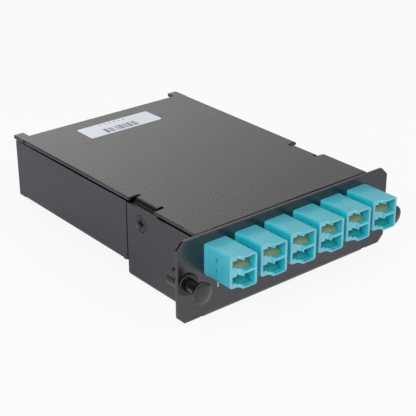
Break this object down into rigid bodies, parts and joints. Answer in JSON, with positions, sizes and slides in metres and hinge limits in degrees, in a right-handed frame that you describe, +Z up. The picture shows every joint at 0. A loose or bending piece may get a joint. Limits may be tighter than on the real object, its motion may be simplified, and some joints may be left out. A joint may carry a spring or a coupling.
{
  "type": "fibre adapter panel",
  "caption": "Folded steel fibre module with a bezel, aqua duplex adapters with sprung shutters, push-pull plungers and a rear multi-fibre port.",
  "frame": {"origin": "middle of the bezel's back face at the height of the front floor's underside", "axes": "+X right along the bezel, +Y to the rear of the module, +Z up"},
  "size_m": [0.1068, 0.1459, 0.0342],
  "materials": {
    "powder_coat": "fine textured powder coat on steel",
    "label_card": "satin card",
    "dark_steel": "blackened steel",
    "black_plastic": "moulded, matt",
    "black_nylon": "moulded nylon, satin",
    "boot_rubber": "matt rubber",
    "fibre_jacket": "smooth jacket",
    "aqua_plastic": "moulded, satin gloss",
    "sleeve_ceramic": "ground ceramic",
    "plug_plastic": "moulded, satin",
    "spring_steel": "bright spring steel",
    "leaf_bronze": "dull khaki bronze",
    "leaf_teal": "moulded, satin"
  },
  "bodies": {
    "module": {"base_tray": "powder_coat", "top_cover": "powder_coat", "label": "label_card", "cover_screws": "dark_steel", "rear_adapter": "black_plastic", "rear_adapter_screws": "dark_steel", "rear_plug": "black_plastic", "rear_plug_boot": "boot_rubber", "fibre_ribbon": "fibre_jacket", "fanout_block": "black_plastic", "grommet_left": "black_nylon", "grommet_right": "black_nylon", "adapter_1": "aqua_plastic", "sleeve_pair_1": "sleeve_ceramic", "inner_plug_1": "plug_plastic", "retaining_clip_1": "spring_steel", "fibre_strip_1": "fibre_jacket", "adapter_2": "aqua_plastic", "sleeve_pair_2": "sleeve_ceramic", "inner_plug_2": "plug_plastic", "retaining_clip_2": "spring_steel", "fibre_strip_2": "fibre_jacket", "adapter_3": "aqua_plastic", "sleeve_pair_3": "sleeve_ceramic", "inner_plug_3": "plug_plastic", "retaining_clip_3": "spring_steel", "fibre_strip_3": "fibre_jacket", "adapter_4": "aqua_plastic", "sleeve_pair_4": "sleeve_ceramic", "inner_plug_4": "plug_plastic", "retaining_clip_4": "spring_steel", "fibre_strip_4": "fibre_jacket", "adapter_5": "aqua_plastic", "sleeve_pair_5": "sleeve_ceramic", "inner_plug_5": "plug_plastic", "retaining_clip_5": "spring_steel", "fibre_strip_5": "fibre_jacket", "adapter_6": "aqua_plastic", "sleeve_pair_6": "sleeve_ceramic", "inner_plug_6": "plug_plastic", "retaining_clip_6": "spring_steel", "fibre_strip_6": "fibre_jacket"},
    "plunger_left": {"plunger_left": "black_nylon"},
    "plunger_right": {"plunger_right": "black_nylon"},
    "shutter_upper_1": {"shutter_upper_1": "leaf_bronze"},
    "shutter_lower_1": {"shutter_lower_1": "leaf_teal"},
    "shutter_upper_2": {"shutter_upper_2": "leaf_bronze"},
    "shutter_lower_2": {"shutter_lower_2": "leaf_teal"},
    "shutter_upper_3": {"shutter_upper_3": "leaf_bronze"},
    "shutter_lower_3": {"shutter_lower_3": "leaf_teal"},
    "shutter_upper_4": {"shutter_upper_4": "leaf_bronze"},
    "shutter_lower_4": {"shutter_lower_4": "leaf_teal"},
    "shutter_upper_5": {"shutter_upper_5": "leaf_bronze"},
    "shutter_lower_5": {"shutter_lower_5": "leaf_teal"},
    "shutter_upper_6": {"shutter_upper_6": "leaf_bronze"},
    "shutter_lower_6": {"shutter_lower_6": "leaf_teal"}
  },
  "joints": [
    {"name": "plunger_left_push", "type": "slide", "parent": "module", "child": "plunger_left", "axis": [0, 1, 0], "range_m": [0, 0.0063]},
    {"name": "plunger_right_push", "type": "slide", "parent": "module", "child": "plunger_right", "axis": [0, 1, 0], "range_m": [0, 0.0063]},
    {"name": "shutter_lower_1_hinge", "type": "hinge", "parent": "module", "child": "shutter_lower_1", "pos_m": [-0.03585, -0.0154, 0.01862], "axis": [-1, 0, 0], "range_deg": [0, 42], "stiffness_Nm_per_rad": 0.0002, "springref_deg": -28.65},
    {"name": "shutter_lower_2_hinge", "type": "hinge", "parent": "module", "child": "shutter_lower_2", "pos_m": [-0.02151, -0.0154, 0.01862], "axis": [-1, 0, 0], "range_deg": [0, 42], "stiffness_Nm_per_rad": 0.0002, "springref_deg": -28.65},
    {"name": "shutter_lower_3_hinge", "type": "hinge", "parent": "module", "child": "shutter_lower_3", "pos_m": [-0.00717, -0.0154, 0.01862], "axis": [-1, 0, 0], "range_deg": [0, 42], "stiffness_Nm_per_rad": 0.0002, "springref_deg": -28.65},
    {"name": "shutter_lower_4_hinge", "type": "hinge", "parent": "module", "child": "shutter_lower_4", "pos_m": [0.00717, -0.0154, 0.01862], "axis": [-1, 0, 0], "range_deg": [0, 42], "stiffness_Nm_per_rad": 0.0002, "springref_deg": -28.65},
    {"name": "shutter_lower_5_hinge", "type": "hinge", "parent": "module", "child": "shutter_lower_5", "pos_m": [0.02151, -0.0154, 0.01862], "axis": [-1, 0, 0], "range_deg": [0, 42], "stiffness_Nm_per_rad": 0.0002, "springref_deg": -28.65},
    {"name": "shutter_lower_6_hinge", "type": "hinge", "parent": "module", "child": "shutter_lower_6", "pos_m": [0.03585, -0.0154, 0.01862], "axis": [-1, 0, 0], "range_deg": [0, 42], "stiffness_Nm_per_rad": 0.0002, "springref_deg": -28.65},
    {"name": "shutter_upper_1_hinge", "type": "hinge", "parent": "module", "child": "shutter_upper_1", "pos_m": [-0.03585, -0.0154, 0.02488], "axis": [-1, 0, 0], "range_deg": [0, 42], "stiffness_Nm_per_rad": 0.0002, "springref_deg": -28.65},
    {"name": "shutter_upper_2_hinge", "type": "hinge", "parent": "module", "child": "shutter_upper_2", "pos_m": [-0.02151, -0.0154, 0.02488], "axis": [-1, 0, 0], "range_deg": [0, 42], "stiffness_Nm_per_rad": 0.0002, "springref_deg": -28.65},
    {"name": "shutter_upper_3_hinge", "type": "hinge", "parent": "module", "child": "shutter_upper_3", "pos_m": [-0.00717, -0.0154, 0.02488], "axis": [-1, 0, 0], "range_deg": [0, 42], "stiffness_Nm_per_rad": 0.0002, "springref_deg": -28.65},
    {"name": "shutter_upper_4_hinge", "type": "hinge", "parent": "module", "child": "shutter_upper_4", "pos_m": [0.00717, -0.0154, 0.02488], "axis": [-1, 0, 0], "range_deg": [0, 42], "stiffness_Nm_per_rad": 0.0002, "springref_deg": -28.65},
    {"name": "shutter_upper_5_hinge", "type": "hinge", "parent": "module", "child": "shutter_upper_5", "pos_m": [0.02151, -0.0154, 0.02488], "axis": [-1, 0, 0], "range_deg": [0, 42], "stiffness_Nm_per_rad": 0.0002, "springref_deg": -28.65},
    {"name": "shutter_upper_6_hinge", "type": "hinge", "parent": "module", "child": "shutter_upper_6", "pos_m": [0.03585, -0.0154, 0.02488], "axis": [-1, 0, 0], "range_deg": [0, 42], "stiffness_Nm_per_rad": 0.0002, "springref_deg": -28.65}
  ]
}
